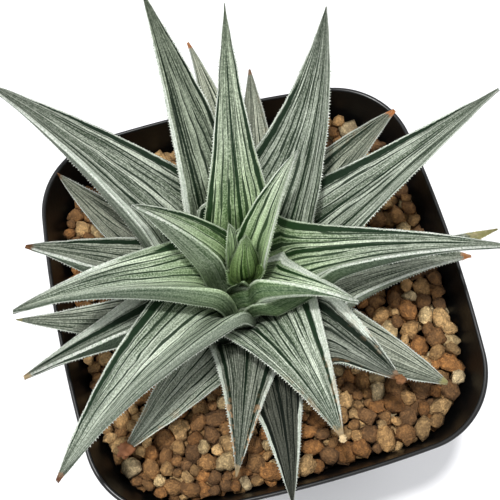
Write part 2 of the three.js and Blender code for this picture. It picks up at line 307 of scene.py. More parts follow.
def makePot():
    wall, rounding, lip = pot["wall"], pot["baseRounding"], pot["lipRounding"]
    rings = arcRings(pot["baseHalf"] - rounding, rounding, rounding, -90, 0, pot["baseSteps"])
    rings += [potRing(halfAt(z), z) for z in pot["levels"]]
    rings += arcRings(pot["rimHalf"] - lip, pot["height"] - lip, lip, 0, 180, pot["lipSteps"])
    rings += [potRing(halfAt(z) - wall, z) for z in reversed(pot["levels"])]
    low = pot["floor"] + rounding
    rings += arcRings(halfAt(low) - wall - rounding, low, rounding, 0, -90, pot["baseSteps"])
    made = makeObject("pot_shell", *loft(rings), plastic)
    cutter = drainCutter()
    cut = made.modifiers.new("drains", "BOOLEAN")
    cut.operation = "DIFFERENCE"
    cut.solver = "EXACT"
    cut.object = cutter
    bpy.context.view_layer.update()
    evaluated = made.evaluated_get(bpy.context.evaluated_depsgraph_get())
    final = bpy.data.meshes.new_from_object(evaluated)
    made.modifiers.clear()
    made.data = final
    bpy.data.objects.remove(cutter)
    setFloats(made, "inner", [float(v.normal.xy.dot(v.co.xy) < 0) for v in final.vertices])
    final.set_sharp_from_angle(angle=math.radians(pot["sharpAngle"]))
    return made


potShell = makePot()
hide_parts("pot")
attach(potShell, "root")
print("pot made")

# Soil: rounded grains packed over a bed painted near black, the painted shade in the gaps between them.
# They lie higher towards the wall (heap), and highest on the right (heapRight).
soil = {
    "level": 62.4,
    "gap": 0.35,
    "bedDrop": 3.4,
    "bedShadeTone": (0.02, 0.012, 0.008),
    "heap": 3.8,
    "heapRight": 2.4,
    "heapSlope": 2.4,  # with heapStart: the heap begins half way out and is full near the wall
    "heapStart": 1.2,
    "wallLean": 0.0034,  # how much wider the pot is for each mm of the heap
    "layers": [
        {"count": 420, "drop": 2.4, "spread": 0.5},
        {"count": 640, "drop": 0, "spread": 0.8},
    ],
    "smallest": 1.15,
    "largest": 2.5,
    "fewLarge": 1.3,  # above 1, small grains are the more common ones
    "packRounds": 60,
    "packTouch": 0.97,
    "packPush": 0.45,
    "packPull": 0.985,
    "sink": 0.85,
    "rise": 0.9,
    "lump": 0.6,
    "lumpScale": 1.2,
    "spin": 6.28,
    "tumble": 0.6,
    "stretch": [(1, 1.3), (0.85, 1.1), (0.7, 0.95)],
    "lightness": (0.65, 1.35),
    "paleShare": 0.14,
    "stain": (0.05, 0.028, 0.016),
    # painted shade: the tone the grains darken to in their pits
    "pitShadeTone": (0.06, 0.032, 0.018),
    "seed": 11,
}
grainTones = [
    (0.42, 0.22, 0.08),
    (0.31, 0.155, 0.055),
    (0.57, 0.33, 0.13),
    (0.7, 0.44, 0.19),
    (0.46, 0.21, 0.065),
    (0.24, 0.125, 0.05),
]
paleTones = [(0.9, 0.65, 0.32), (0.84, 0.54, 0.24), (0.92, 0.71, 0.4)]


def insideOutline(x, y, scale):
    inside = False
    for i, a in enumerate(outline):
        b = outline[(i + 1) % len(outline)]
        if (a.y * scale > y) != (b.y * scale > y):
            if x < ((b.x - a.x) * (y / scale - a.y) / (b.y - a.y) + a.x) * scale:
                inside = not inside
    return inside


# Scatters circles and pushes them apart until they lie side by side
def packGrains(count, draw, reach):
    grains = []
    for _ in range(count):
        share = draw.random() ** soil["fewLarge"]
        radius = soil["smallest"] + (soil["largest"] - soil["smallest"]) * share
        grains.append([draw.uniform(-reach, reach), draw.uniform(-reach, reach), radius])
    for _ in range(soil["packRounds"]):
        tree = kdtree.KDTree(count)
        for i, (x, y, _) in enumerate(grains):
            tree.insert((x, y, 0), i)
        tree.balance()
        for i, grain in enumerate(grains):
            push = Vector((0, 0))
            for where, j, far in tree.find_range((grain[0], grain[1], 0), 2 * soil["largest"]):
                want = (grain[2] + grains[j][2]) * soil["packTouch"]
                if j != i and far < want:
                    away = Vector((grain[0] - where[0], grain[1] - where[1]))
                    if away.length < 1e-6:
                        away = Vector((draw.uniform(-1, 1), draw.uniform(-1, 1)))
                    push += away.normalized() * (want - far) * soil["packPush"]
            grain[0] += push.x
            grain[1] += push.y
            if not insideOutline(grain[0], grain[1], (reach - grain[2]) / pot["rimHalf"]):
                grain[0] *= soil["packPull"]
                grain[1] *= soil["packPull"]
    return grains


def pebble():
    shape = bmesh.new()
    bmesh.ops.create_cube(shape, size=1)
    bmesh.ops.subdivide_edges(shape, edges=shape.edges[:], cuts=1, use_grid_fill=True)
    points = [v.co.normalized() for v in shape.verts]
    faces = [tuple(v.index for v in f.verts) for f in shape.faces]
    shape.free()
    return points, faces


def makeSoil():
    draw = random.Random(soil["seed"])
    inset = pot["wall"] + soil["gap"]
    low = pot["floor"] + soil["gap"]
    rounding = pot["baseRounding"]
    bedTop = soil["level"] - soil["bedDrop"]
    points, faces = loft([
        potRing(halfAt(low) - inset - rounding, low),
        potRing(halfAt(low + rounding) - inset, low + rounding),
        potRing(halfAt(bedTop) - inset, bedTop),
    ])
    # The bed is painted near black: painted shade in the gaps between the grains
    tones = [soil["bedShadeTone"]] * len(points)
    template, quads = pebble()
    reach = halfAt(soil["level"]) - inset
    packed = [packGrains(layer["count"], draw, reach) for layer in soil["layers"]]
    for layer, grains in zip(soil["layers"], packed):
        level, spread = soil["level"] - layer["drop"], layer["spread"]
        for x, y, radius in grains:
            palette = paleTones if draw.random() < soil["paleShare"] else grainTones
            tone = Vector(draw.choice(palette)) * draw.uniform(*soil["lightness"])
            turn = Matrix.Rotation(draw.uniform(0, soil["spin"]), 3, "Z")
            turn = turn @ Matrix.Rotation(draw.uniform(-soil["tumble"], soil["tumble"]), 3, "X")
            stretch = Vector([draw.uniform(least, most) for least, most in soil["stretch"]])
            out = min(max(max(abs(x), abs(y)) / reach * soil["heapSlope"] - soil["heapStart"], 0), 1)
            heap = (soil["heap"] + soil["heapRight"] * max(x, 0) / reach) * out * out * (3 - 2 * out)
            lean = 1 + heap * soil["wallLean"]
            x, y = x * lean, y * lean
            z = level + heap + soil["rise"] - radius * soil["sink"] + draw.uniform(-spread, spread)
            offset = Vector([draw.uniform(0, 99) for _ in range(3)])
            draw.random()  # passed over: without it, every later grain would be another one
            start = len(points)
            for p in template:
                lump = 1 + soil["lump"] * noise.noise(p * soil["lumpScale"] + offset)
                local = turn @ (p * stretch) * radius * lump
                points.append((x + local.x, y + local.y, z + local.z))
                tones.append(tone)
            faces += [tuple(start + i for i in quad) for quad in quads]
    made = makeObject("soil_grains", points, faces, gravel)
    setColors(made, "tone", tones)
    return made


# Baked clay, mottled and pitted; the pits are also painted darker, as painted shade where the bump is
# low
gravel = Skin("soil_gravel", Roughness=0.92, IOR=1.4)
spot = gravel.place()
tone = gravel.attribute("tone", "Color")
mottle = gravel.noise(spot, 700, 4, 0.65)
pitsAndShade = gravel.step(gravel.noise(spot, 2200, 3, 0.6), 0.35, 0.6)
stained = gravel.mix(0.45, tone, soil["stain"])
clay = gravel.mix(gravel.step(mottle, 0.42, 0.62), stained, tone)
gravel.into("Base Color", gravel.mix(0.3 - pitsAndShade * 0.3, clay, soil["pitShadeTone"]))
gravel.into("Normal", gravel.bump(mottle * 0.7 + pitsAndShade * 0.3, 0.0006))

soilGrains = makeSoil()
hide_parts("soil")
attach(soilGrains, "root")
print("soil made:", len(soilGrains.data.polygons), "faces")

# Stem and roots keep their CAD form, in a fibrous bark
barkTones = [(0.16, 0.12, 0.06), (0.36, 0.33, 0.17)]
bark = Skin("stem_bark", Roughness=0.8)
alongStem = bark.node("ShaderNodeMapping", {"Vector": bark.place(), "Scale": (1, 1, 0.25)})
fibre = bark.noise(alongStem, 900, 4, 0.6)
bark.into("Base Color", bark.mix(bark.step(fibre, 0.35, 0.65), *barkTones))
bark.into("Normal", bark.bump(fibre, 0.0002))
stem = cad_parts["stem_and_roots"]
stem.data.materials.clear()
stem.data.materials.append(bark.material)
print("stem dressed")

# Leaves, numbered from the heart outwards.
# Form, in mm and degrees: azimuth and tilt are its direction half way along, bend is how much
# steeper its foot is than its tip, side how far it turns to the left, foot the height of its foot
# over the pot's rim, roll its turn about its own length, and fold how its edges rise. keel is the
# keel's place from the right edge at -1 to the left one at 1, keelDepth its depth as a share of the
# width, root the width at the foot as a share of the widest, taper how full the blade stays towards
# its tip, and tip the tip's half width.
# Look: heart is its lush green, frost its silver, grey its grey (below 0: its green), veins how
# strong its dark lines are, facet how dark the side between two toothed lines is, toneAndShadow
# its brightness, partly its own tone and partly painted shadow from the blades above, and rust its
# sores.
# darks and pales are stripes: place at the foot, place at the tip, half width, start and end, with
# places as for the keel. dry is the length of the dried tip in the colour tint, and knob the radius
# of the callus there. seamless leaves out the toothed line between the face and the side next to
# it.
leafDefaults = {
    "bend": 0, "side": 0, "roll": 0, "fold": 20, "keel": 0, "keelDepth": 0.2, "root": 0.5,
    "taper": 1.5, "tip": 0.3,
    "heart": 0, "frost": 0, "grey": 0, "veins": 1, "facet": 0.5, "toneAndShadow": 1, "rust": 0,
    "darks": [], "pales": [], "dry": 0, "tint": "straw", "knob": 0, "seamless": 0,
}
leaves = [
    {"azimuth": -102, "tilt": 117, "length": 14, "width": 7, "foot": 3, "side": -15, "roll": 20,
     "keelDepth": 0.3, "heart": 1.2, "veins": 0.35, "toneAndShadow": 1.1},
    {"azimuth": 107, "tilt": 71, "length": 20, "width": 7.5, "foot": 4, "roll": -10, "keelDepth": 0.3,
     "heart": 1.3, "veins": 0.35, "toneAndShadow": 1.3},
    {"azimuth": 48, "tilt": 51, "length": 34, "width": 8.5, "foot": 3, "side": -20, "roll": -20,
     "fold": 25, "keelDepth": 0.3, "heart": 1, "grey": -0.1, "toneAndShadow": 1.22,
     "darks": [(0.84, 0.86, 0.08, 0, 1)], "pales": [(-0.85, -0.85, 0.1, 0.1, 1)]},
    {"azimuth": 146, "tilt": 44, "length": 33, "width": 9.5, "foot": 5, "side": 30, "roll": 35,
     "fold": 30, "keel": 0.9, "keelDepth": 0.65, "taper": 1.4, "heart": 1, "grey": -0.1, "facet": 0.7,
     "toneAndShadow": 1.05, "darks": [(-0.86, -0.86, 0.09, 0, 0.9)]},
    {"azimuth": -36, "tilt": 39, "length": 31, "width": 16, "foot": 0, "bend": 25, "side": -15,
     "roll": -45, "fold": 30, "keel": -1, "keelDepth": 0.4, "root": 0.8, "taper": 0.65, "heart": 0.7,
     "frost": 0.15, "veins": 0.8, "facet": 1, "toneAndShadow": 1.75,
     "darks": [(0.6, 0.66, 0.05, 0.1, 0.8), (-0.1, 0, 0.04, 0.2, 0.9)],
     "pales": [(0.88, 0.88, 0.14, 0, 1), (-0.88, -0.88, 0.14, 0, 1)]},
    {"azimuth": -177, "tilt": 32, "length": 54, "width": 19, "foot": 0, "bend": 5, "side": 30,
     "roll": 30, "fold": 30, "keel": 1, "keelDepth": 0.3, "taper": 0.85, "heart": 0.8, "grey": -0.1,
     "facet": 0.9, "toneAndShadow": 1.42,
     "darks": [(-0.86, -0.86, 0.1, 0, 0.45), (0.74, 0.8, 0.04, 0, 0.5), (0.92, 0.93, 0.08, 0, 0.85)],
     "pales": [(-0.9, -0.9, 0.08, 0.5, 1)], "seamless": 1},
    {"azimuth": -15, "tilt": 30, "length": 58, "width": 20.5, "foot": 0, "bend": 10, "side": -20,
     "roll": -20, "fold": 40, "keel": -1, "keelDepth": 0.35, "root": 0.85, "taper": 0.55, "heart": 0.8,
     "grey": -0.1, "veins": 1.2, "facet": 1, "toneAndShadow": 1.28,
     "darks": [(0.89, 0.89, 0.08, 0, 1), (0.42, 0.36, 0.05, 0, 0.95), (-0.15, -0.2, 0.08, 0, 0.95)],
     "pales": [(-0.72, -0.74, 0.1, 0, 1)]},
    {"azimuth": 81, "tilt": 37, "length": 61, "width": 21, "foot": -1, "side": -5, "fold": 12,
     "taper": 0.55, "heart": 1.2, "grey": -0.5, "toneAndShadow": 1.25,
     "darks": [(-0.12, 0.12, 0.06, 0, 0.9), (0.86, 0.86, 0.07, 0, 1), (-0.82, -0.82, 0.1, 0, 1)]},
    {"azimuth": -142, "tilt": 26, "length": 62, "width": 19, "foot": -2, "bend": 15, "side": 23,
     "roll": 25, "fold": 30, "keel": 1, "taper": 1.1, "heart": 0.25, "facet": 0.7, "toneAndShadow": 1.24,
     "darks": [(-0.87, -0.86, 0.08, 0, 1), (0.55, 0.6, 0.04, 0.1, 0.9), (0.9, 0.95, 0.06, 0, 0.8)],
     "dry": 2, "tint": "rose", "seamless": 1},
    {"azimuth": 58, "tilt": 30, "length": 63, "width": 28, "foot": -1, "side": 30, "roll": -20,
     "fold": 35, "taper": 0.8, "heart": 0.2, "veins": 1.3, "toneAndShadow": 1.02,
     "darks": [(0.88, 0.86, 0.08, 0, 0.8), (-0.3, -0.2, 0.04, 0, 0.9)]},
    {"azimuth": 99, "tilt": 40, "length": 68, "width": 18, "foot": -3, "side": 10, "roll": -15,
     "fold": 15, "keel": 0.5, "taper": 1, "heart": 0.3, "grey": -0.5, "toneAndShadow": 0.65,
     "darks": [(-0.84, -0.84, 0.08, 0, 1), (0.55, 0.6, 0.04, 0, 1)],
     "pales": [(0.92, 0.92, 0.08, 0, 1)]},
    {"azimuth": 18, "tilt": 29, "length": 68, "width": 23, "foot": -2, "roll": -15, "fold": 25,
     "taper": 0.85, "heart": 0.2, "veins": 1.3, "toneAndShadow": 1.08,
     "darks": [(0.86, 0.86, 0.11, 0, 1), (0.2, 0.2, 0.03, 0, 0.9), (-0.4, -0.3, 0.04, 0.1, 0.9)]},
    {"azimuth": 134, "tilt": 30, "length": 70, "width": 24, "foot": -2, "side": 20, "roll": 15,
     "keel": 0.9, "keelDepth": 0.3, "taper": 0.9, "heart": 0.2, "grey": 0.1, "facet": 0.7,
     "toneAndShadow": 0.92, "darks": [(-0.88, -0.88, 0.08, 0, 1), (0.5, 0.55, 0.04, 0, 0.9)],
     "pales": [(0.88, 0.88, 0.08, 0, 1)]},
    {"azimuth": -76, "tilt": 23, "length": 43, "width": 26, "foot": -4, "side": -16, "fold": 28,
     "keel": 1, "keelDepth": 0.05, "taper": 0.7, "tip": 0.7, "heart": 0.1, "veins": 1.3, "facet": 0.6,
     "toneAndShadow": 1.28, "darks": [(0.72, 0.75, 0.08, 0.1, 1), (-0.4, -0.3, 0.04, 0.1, 0.9)],
     "pales": [(0.9, 0.9, 0.12, 0.1, 1)], "dry": 3.5, "knob": 0.7, "rust": 0.4},
    {"azimuth": -167, "tilt": 20, "length": 53, "width": 28, "foot": -5, "side": 10, "roll": 45,
     "fold": 32, "keel": 1, "keelDepth": 0.35, "taper": 0.6, "facet": 1, "toneAndShadow": 0.85,
     "darks": [(-0.5, -0.6, 0.1, 0, 1), (0.6, 0.7, 0.08, 0, 1)], "pales": [(-0.85, -0.85, 0.16, 0, 1)],
     "dry": 2},
    {"azimuth": -52, "tilt": 24, "length": 42, "width": 17, "foot": -3, "bend": 5, "roll": -5,
     "fold": 35, "tip": 0.9, "grey": 0.1, "toneAndShadow": 0.5,
     "darks": [(0.5, 0.6, 0.1, 0, 1), (-0.8, -0.8, 0.1, 0, 1)], "pales": [(0.86, 0.86, 0.14, 0, 0.85)],
     "dry": 2.5, "tint": "brown", "knob": 0.9, "rust": 0.3},
    {"azimuth": -107, "tilt": 12, "length": 42, "width": 29, "foot": -7.5, "side": -5, "roll": -15,
     "fold": 10, "keelDepth": 0.12, "taper": 0.5, "grey": 0.4, "toneAndShadow": 0.8,
     "darks": [(0.7, 0.66, 0.08, 0, 1), (-0.7, -0.66, 0.08, 0, 1), (0.05, 0.05, 0.05, 0, 1)],
     "pales": [(0.92, 0.92, 0.08, 0, 1), (-0.92, -0.92, 0.08, 0, 1)], "dry": 3, "rust": 1.6},
    {"azimuth": -93, "tilt": 12, "length": 49, "width": 18, "foot": -8, "side": -15, "fold": 15,
     "taper": 1, "grey": 0.8, "toneAndShadow": 0.22,
     "darks": [(0.1, 0.1, 0.07, 0, 1), (-0.7, -0.7, 0.1, 0, 1)],
     "pales": [(-0.9, -0.9, 0.1, 0.5, 1), (0.9, 0.9, 0.1, 0.5, 1)]},
    {"azimuth": 161, "tilt": 27, "length": 51, "width": 17, "foot": -7, "roll": 30, "fold": 30,
     "keel": 1, "keelDepth": 0.35, "grey": 0.4, "facet": 0.9, "toneAndShadow": 1.02,
     "darks": [(-0.85, -0.85, 0.08, 0, 1)], "dry": 2, "tint": "brown"},
    {"azimuth": -10, "tilt": 20, "length": 51, "width": 33, "foot": -7, "bend": 5, "side": -25,
     "roll": -5, "fold": 15, "keel": -1, "taper": 0.75, "grey": 0.4, "facet": 0.8, "toneAndShadow": 1.35,
     "darks": [(0.84, 0.84, 0.1, 0, 1), (0.1, 0.1, 0.06, 0, 1)], "dry": 2.5, "tint": "orange"},
    {"azimuth": 90, "tilt": 24, "length": 58, "width": 12, "foot": -6, "side": 20, "roll": 20,
     "frost": 0.3, "grey": 0.8, "toneAndShadow": 1.1, "darks": [(0.7, 0.7, 0.08, 0, 1)], "dry": 2.5,
     "tint": "orange"},
    {"azimuth": 75, "tilt": 24, "length": 51, "width": 14, "foot": -7, "side": 10, "roll": 15,
     "frost": 0.25, "grey": 0.7, "veins": 0.5, "toneAndShadow": 0.9, "dry": 1.5, "tint": "rose", "rust": 0.12},
    {"azimuth": -3, "tilt": 16, "length": 58, "width": 11, "foot": -9, "side": 10, "grey": 0.6,
     "toneAndShadow": 0.8, "dry": 9, "tint": "olive"},
    {"azimuth": -139, "tilt": 14, "length": 45, "width": 16, "foot": -9, "roll": -30, "fold": 25,
     "taper": 1.1, "tip": 1.1, "grey": 0.2, "veins": 0.6, "toneAndShadow": 0.98, "dry": 2, "tint": "rose",
     "knob": 1.4, "rust": 0.3},
    {"azimuth": 176, "tilt": 15, "length": 52, "width": 12, "foot": -9, "side": -20, "roll": -10,
     "frost": 0.1, "grey": 0.4, "toneAndShadow": 1.05, "dry": 2, "tint": "olive"},
    {"azimuth": -42, "tilt": 14, "length": 49, "width": 14, "foot": -9, "tip": 1.3, "frost": 0.1,
     "grey": 0.6, "toneAndShadow": 0.9, "dry": 2, "tint": "olive"},
    {"azimuth": 35, "tilt": 19, "length": 54, "width": 16, "foot": -8, "side": -15, "roll": -20,
     "fold": 25, "tip": 0.9, "grey": 0.7, "darks": [(0.6, 0.6, 0.08, 0, 1)], "dry": 2.5,
     "tint": "orange", "rust": 0.15},
    {"azimuth": 135, "tilt": 14, "length": 52, "width": 14, "foot": -9, "side": -20, "roll": -20,
     "grey": 0.8, "toneAndShadow": 0.75, "dry": 2, "tint": "brown"},
]
tints = {
    "straw": (0.6, 0.45, 0.25),
    "brown": (0.2, 0.09, 0.035),
    "rose": (0.24, 0.1, 0.045),
    "orange": (0.65, 0.24, 0.07),
    "olive": (0.36, 0.34, 0.14),
}
# What all blades share. ripple is a small wave of the edges, as (height, pace along), and buckle one of
# the surface, as (height, pace across, pace along).
blade = {
    "stem": -2.5,
    "widestAt": 0.2,
    "keelFullAt": 0.35,
    "edge": 0.45,
    "tipRounding": 0.7,
    "tipPower": 6,
    "channel": 0.3,
    "bladeThickness": 0.9,
    "keelThickness": 1,
    "keelLeast": 0.35,
    "swell": 0.12,
    "sideBulge": 0.1,
    "sideKeel": 0.7,
    "steps": 80,
    "crowding": 0.35,  # sections lie closer together towards the tip
    "topSteps": 40,
    "lowSteps": 10,
    "spineSteps": 400,
    "ripple": (0.16, 0.22),
    "buckle": (0.12, 0.25, 0.12),
    "margin": 0.3,
    "marginShare": 0.1,
    "marginLeast": 0.08,
    "heartReach": 36,
    "heartFade": 1.4,
    "stripeFade": 0.12,
    "stripeGone": 1.5,
    "keelOut": (0.6, 0.8),  # how far a keel's teeth point sideways and down
    "shiftSpread": 50,
    "seedStep": 0.37,
    "firstSeed": 300,
}
tooth = {
    "spacing": 0.62,
    "spacingSpread": (0.75, 1.25),
    "size": 0.3,
    "sizeSpread": (0.7, 1.3),
    "shrink": 5,  # with leastSize: teeth get smaller over the last part of the blade
    "leastSize": 0.3,
    "half": 0.55,
    "thickness": 0.45,
    "lean": 0.35,
    "sunk": 0.12,
    "startsAt": 0.08,
}
knob = {"lump": 0.9, "lumpScale": 2.2}
drape = {"gap": 0.15, "limit": 16, "rounds": 10}
away = 9.0  # past the end of every pattern, so nothing of it shows


def leafWidth(share, leaf):
    root, widest = leaf["root"], blade["widestAt"]
    base = root + (1 - root) * math.sin(math.pi / 2 * min(share / widest, 1))
    rest = max(share - widest, 0) / (1 - widest)
    return leaf["width"] * base * (1 - rest ** leaf["taper"])


def leafDirection(share, leaf):
    rise = math.radians(leaf["tilt"] + leaf["bend"] * (0.5 - share))
    heading = math.radians(leaf["azimuth"] + leaf["side"] * (share - 0.5))
    flat = Vector((math.cos(heading), math.sin(heading), 0))
    along = flat * math.cos(rise) + up * math.sin(rise)
    face = flat * -math.sin(rise) + up * math.cos(rise)
    left = Vector((-math.sin(heading), math.cos(heading), 0))
    cos, sin = math.cos(math.radians(leaf["roll"])), math.sin(math.radians(leaf["roll"]))
    return along, face * cos - left * sin, left * cos + face * sin


# One section of a blade, as rows of x, y, across, the distance to the nearest toothed line, and 1 on
# the side between two toothed lines
def leafSection(leaf, share, ripple):
    rounding = leaf["tip"] * (1 - blade["tipRounding"] * share ** blade["tipPower"])
    half = leafWidth(share, leaf) / 2 + rounding
    slope = math.tan(math.radians(leaf["fold"]))
    grown = math.sin(math.pi / 2 * min(share / blade["keelFullAt"], 1))
    least = min(blade["keelThickness"], half + blade["keelLeast"])
    depth = max(leaf["keelDepth"] * 2 * half * grown, least)
    edge = min(blade["edge"], half)
    soft = blade["channel"]
    wide = half + ripple

    def hollow(u):
        return math.sqrt(u * u + soft * soft) - soft

    def topAt(u):
        return slope * half * hollow(u) / hollow(1)

    side = leaf["keel"]
    keel = Vector((side * half, slope * half * abs(side) - depth))
    sideKeeled = abs(side) > blade["sideKeel"]
    section = []
    count = blade["topSteps"]
    for i in range(count + 1):
        u = -1 + 2 * i / count
        seamless = leaf["seamless"] and u * side > 0
        section.append((u * wide, topAt(u), u, half if seamless else (1 - abs(u)) * half, 0))
    low = topAt(1) - edge
    count = blade["lowSteps"]
    for sign in (1, -1):
        start = Vector((sign * wide, low))
        level = (low + keel.y) / 2
        facing = sideKeeled and sign * side > 0
        if facing:
            middle = Vector(((sign * half + keel.x) / 2 + sign * blade["sideBulge"] * depth, level))
        else:
            across = (sign + side) / 2
            clear = slope * half * min(abs(across), 1) - max(blade["bladeThickness"], depth / 2)
            level -= blade["swell"] * abs(sign - side) * half
            middle = Vector((across * half, min(level, clear)))
        bow = 2 * middle - (start + keel) / 2
        length = (start - keel).length
        stretch = []
        for i in range(1, count + 1):
            t = i / count
            point = start * (1 - t) ** 2 + bow * 2 * t * (1 - t) + keel * t * t
            fromEdge = t + away if facing and leaf["seamless"] else t
            near = length * (min(fromEdge, 1 - t) if sideKeeled else t)
            stretch.append((point.x, point.y, sign, near, int(facing)))
        section += stretch if sign == 1 else reversed(stretch[:-1])
    return section, half


# Distance round a section from the middle of its face, to the left and to the right
def girths(section):
    far = [0]
    for (x, y, *_), (nextX, nextY, *_) in zip(section, section[1:]):
        far.append(far[-1] + math.hypot(nextX - x, nextY - y))
    middle = far[blade["topSteps"] // 2]
    whole = far[-1] + math.hypot(section[-1][0] - section[0][0], section[-1][1] - section[0][1])
    keel = blade["topSteps"] + blade["lowSteps"]
    return [value - middle - (whole if i > keel else 0) for i, value in enumerate(far)]


def bladeSpine(leaf):
    place = Vector((blade["stem"], 0, pot["height"] + leaf["foot"]))
    count = blade["spineSteps"]
    spine = [place.copy()]
    for i in range(count):
        place = place + leafDirection((i + 0.5) / count, leaf)[0] * leaf["length"] / count
        spine.append(place.copy())
    return spine


# Signed distance from each stripe in half widths, and how far the stripe has faded out
def stripePlaces(stripes, across, share):
    places, fades = [away] * 3, [0.0] * 3
    fade = blade["stripeFade"]
    for i, (foot, tip, half, start, end) in enumerate(stripes):
        places[i] = (across - foot - (tip - foot) * share) / half
        shown = min((share - start) / fade + (start == 0), (end - share) / fade, 1)
        fades[i] = blade["stripeGone"] - blade["stripeGone"] * max(0, shown)
    return places, fades


# The rings of one blade, its lines for teeth as rows of point, outward, sideways and share, and the
# values that its skin reads at each point
def sweepBlade(leaf, shift):
    spine = bladeSpine(leaf)
    rings, right, left, keel = [], [], [], []
    data = {name: [] for name in ("across", "along", "girth", "lane", "edge", "facing",
                                  "darks", "darksGone", "pales", "palesGone")}
    rippleHeight, ripplePace = blade["ripple"]
    buckleHeight, buckleAcross, buckleAlong = blade["buckle"]
    sideways, down = blade["keelOut"]
    for i in range(blade["steps"] + 1):
        t = i / blade["steps"]
        share = t * (1 + blade["crowding"] - blade["crowding"] * t)
        along, face, leftwards = leafDirection(share, leaf)
        reach = share * leaf["length"]
        ripple = rippleHeight * noise.noise(Vector((reach * ripplePace, shift, 0)))
        section, half = leafSection(leaf, share, ripple)
        at = spine[round(share * blade["spineSteps"])]
        margin = min(blade["margin"], blade["marginShare"] * half + blade["marginLeast"])
        ring = []
        for (x, y, across, near, facing), girth in zip(section, girths(section)):
            spot = Vector((x * buckleAcross, reach * buckleAlong, shift + 9))
            y += buckleHeight * noise.noise(spot) * min(1, half / 3)
            ring.append(at + leftwards * x + face * y)
            lane = girth * leaf["width"] / 2 / half
            values = {"across": across, "along": share, "girth": girth, "lane": lane,
                      "edge": near / margin, "facing": facing}
            for name, value in values.items():
                data[name].append(value)
            for name in ("darks", "pales"):
                places, fades = stripePlaces(leaf[name], across + away * facing, share)
                data[name] += places
                data[name + "Gone"] += fades
        rings.append(ring)
        lower = face * -0.5 * min(blade["edge"], half)
        keelPoint = ring[blade["topSteps"] + blade["lowSteps"]].copy()
        keelOut = leftwards * math.copysign(sideways, leaf["keel"]) - face * down
        right.append((ring[0] + lower, -leftwards, face, share))
        left.append((ring[blade["topSteps"]] + lower, leftwards, face, share))
        keel.append((keelPoint, keelOut, leftwards, share))
    return rings, [right, left, keel], data


placed = {"points": [], "faces": []}


# Presses a blade down under the blades nearer the heart, which are in placed
def pressUnder(rings, lines, keel):
    if not placed["faces"]:
        return
    tree = bvhtree.BVHTree.FromPolygons(placed["points"], placed["faces"])
    top, low = blade["topSteps"], blade["lowSteps"]
    need = []
    for ring in rings:
        row = []
        for point in ring[:top + 1]:
            hit = tree.ray_cast(Vector((point.x, point.y, 0)), up)[0]
            row.append(min(max(point.z - hit.z + drape["gap"], 0), drape["limit"]) if hit else 0)
        need.append(row)
    shift = [row[:] for row in need]
    for _ in range(drape["rounds"]):
        smooth = []
        for i, row in enumerate(shift):
            before, after = shift[max(i - 1, 0)], shift[min(i + 1, len(shift) - 1)]
            smooth.append([])
            for k in range(top + 1):
                around = before[k] + after[k] + row[max(k - 1, 0)] + row[min(k + 1, top)]
                smooth[i].append(max(need[i][k], around / 4))
        shift = smooth
    keelColumn = round(top * (1 + keel) / 2)
    columns = list(range(top + 1))
    columns += [round(top + (keelColumn - top) * k / low) for k in range(1, low + 1)]
    columns += [round(keelColumn * (1 - k / low)) for k in range(1, low)]
    for i, ring in enumerate(rings):
        for point, column in zip(ring, columns):
            point.z -= shift[i][column]
    for line, column in zip(lines, (0, top, keelColumn)):
        for i, (point, *_) in enumerate(line):
            point.z -= shift[i][column]


def addTeeth(line, points, faces, shares, draw):
    walked = 0
    for (a, out, face, share), (b, *_) in zip(line, line[1:]):
        step = (b - a).length
        along = (b - a).normalized()
        while walked < step:
            at = a.lerp(b, walked / step)
            size = tooth["size"] * draw.uniform(*tooth["sizeSpread"])
            size *= min(1, (1 - share) * tooth["shrink"] + tooth["leastSize"])
            if share > tooth["startsAt"]:
                start = len(points)
                sunk = out * tooth["sunk"]
                points.extend([
                    at - along * size * tooth["half"] - sunk,
                    at + along * size * tooth["half"] - sunk,
                    at + face * size * tooth["thickness"] - sunk,
                    at - face * size * tooth["thickness"] - sunk,
                    at + out * size + along * size * tooth["lean"],
                ])
                corners = (0, 2, 1, 3, 0)
                faces.extend((start + i, start + j, start + 4) for i, j in zip(corners, corners[1:]))
                shares.extend([share] * 5)
            walked += tooth["spacing"] * draw.uniform(*tooth["spacingSpread"])
        walked -= step


# A lump of callus where a tip has died back
def addKnob(ring, radius, points, faces, shares, shift):
    middle = sum(ring, Vector()) / len(ring)
    lump = bmesh.new()
    bmesh.ops.create_icosphere(lump, subdivisions=3, radius=radius)
    start = len(points)
    for vert in lump.verts:
        spot = vert.co * knob["lumpScale"] / radius + Vector((shift, 0, 0))
        points.append(middle + vert.co * (1 + knob["lump"] * noise.noise(spot)))
        shares.append(1.0)
    faces += [tuple(start + v.index for v in face.verts) for face in lump.faces]
    lump.free()


# The values that the skin reads at each point; teeth and knobs are coloured as the edge is
def setLeafData(made, leaf, number, data, extraShares):
    extra = len(extraShares)
    for name in ("across", "girth", "lane", "edge", "facing"):
        setFloats(made, name, data[name] + [float(name == "across")] * extra)
    for name in ("darks", "pales", "darksGone", "palesGone"):
        setVectors(made, name, data[name] + [away] * 3 * extra)
    shares = data["along"] + extraShares
    length, dry = leaf["length"], leaf["dry"]
    setFloats(made, "along", shares)
    setFloats(made, "reach", [share * length for share in shares])
    near = [max(0, 1 - share * length / blade["heartReach"]) for share in shares]
    setFloats(made, "heart", [min(1, leaf["heart"] * value ** blade["heartFade"]) for value in near])
    setFloats(made, "dry", [1 - (1 - share) * length / dry if dry else -away for share in shares])
    setFloats(made, "seed", [number * blade["seedStep"]] * len(shares))
    for name in ("veins", "frost", "grey", "toneAndShadow", "rust", "facet"):
        setFloats(made, name, [float(leaf[name])] * len(shares))
    setColors(made, "tint", [tints[leaf["tint"]]] * len(shares))


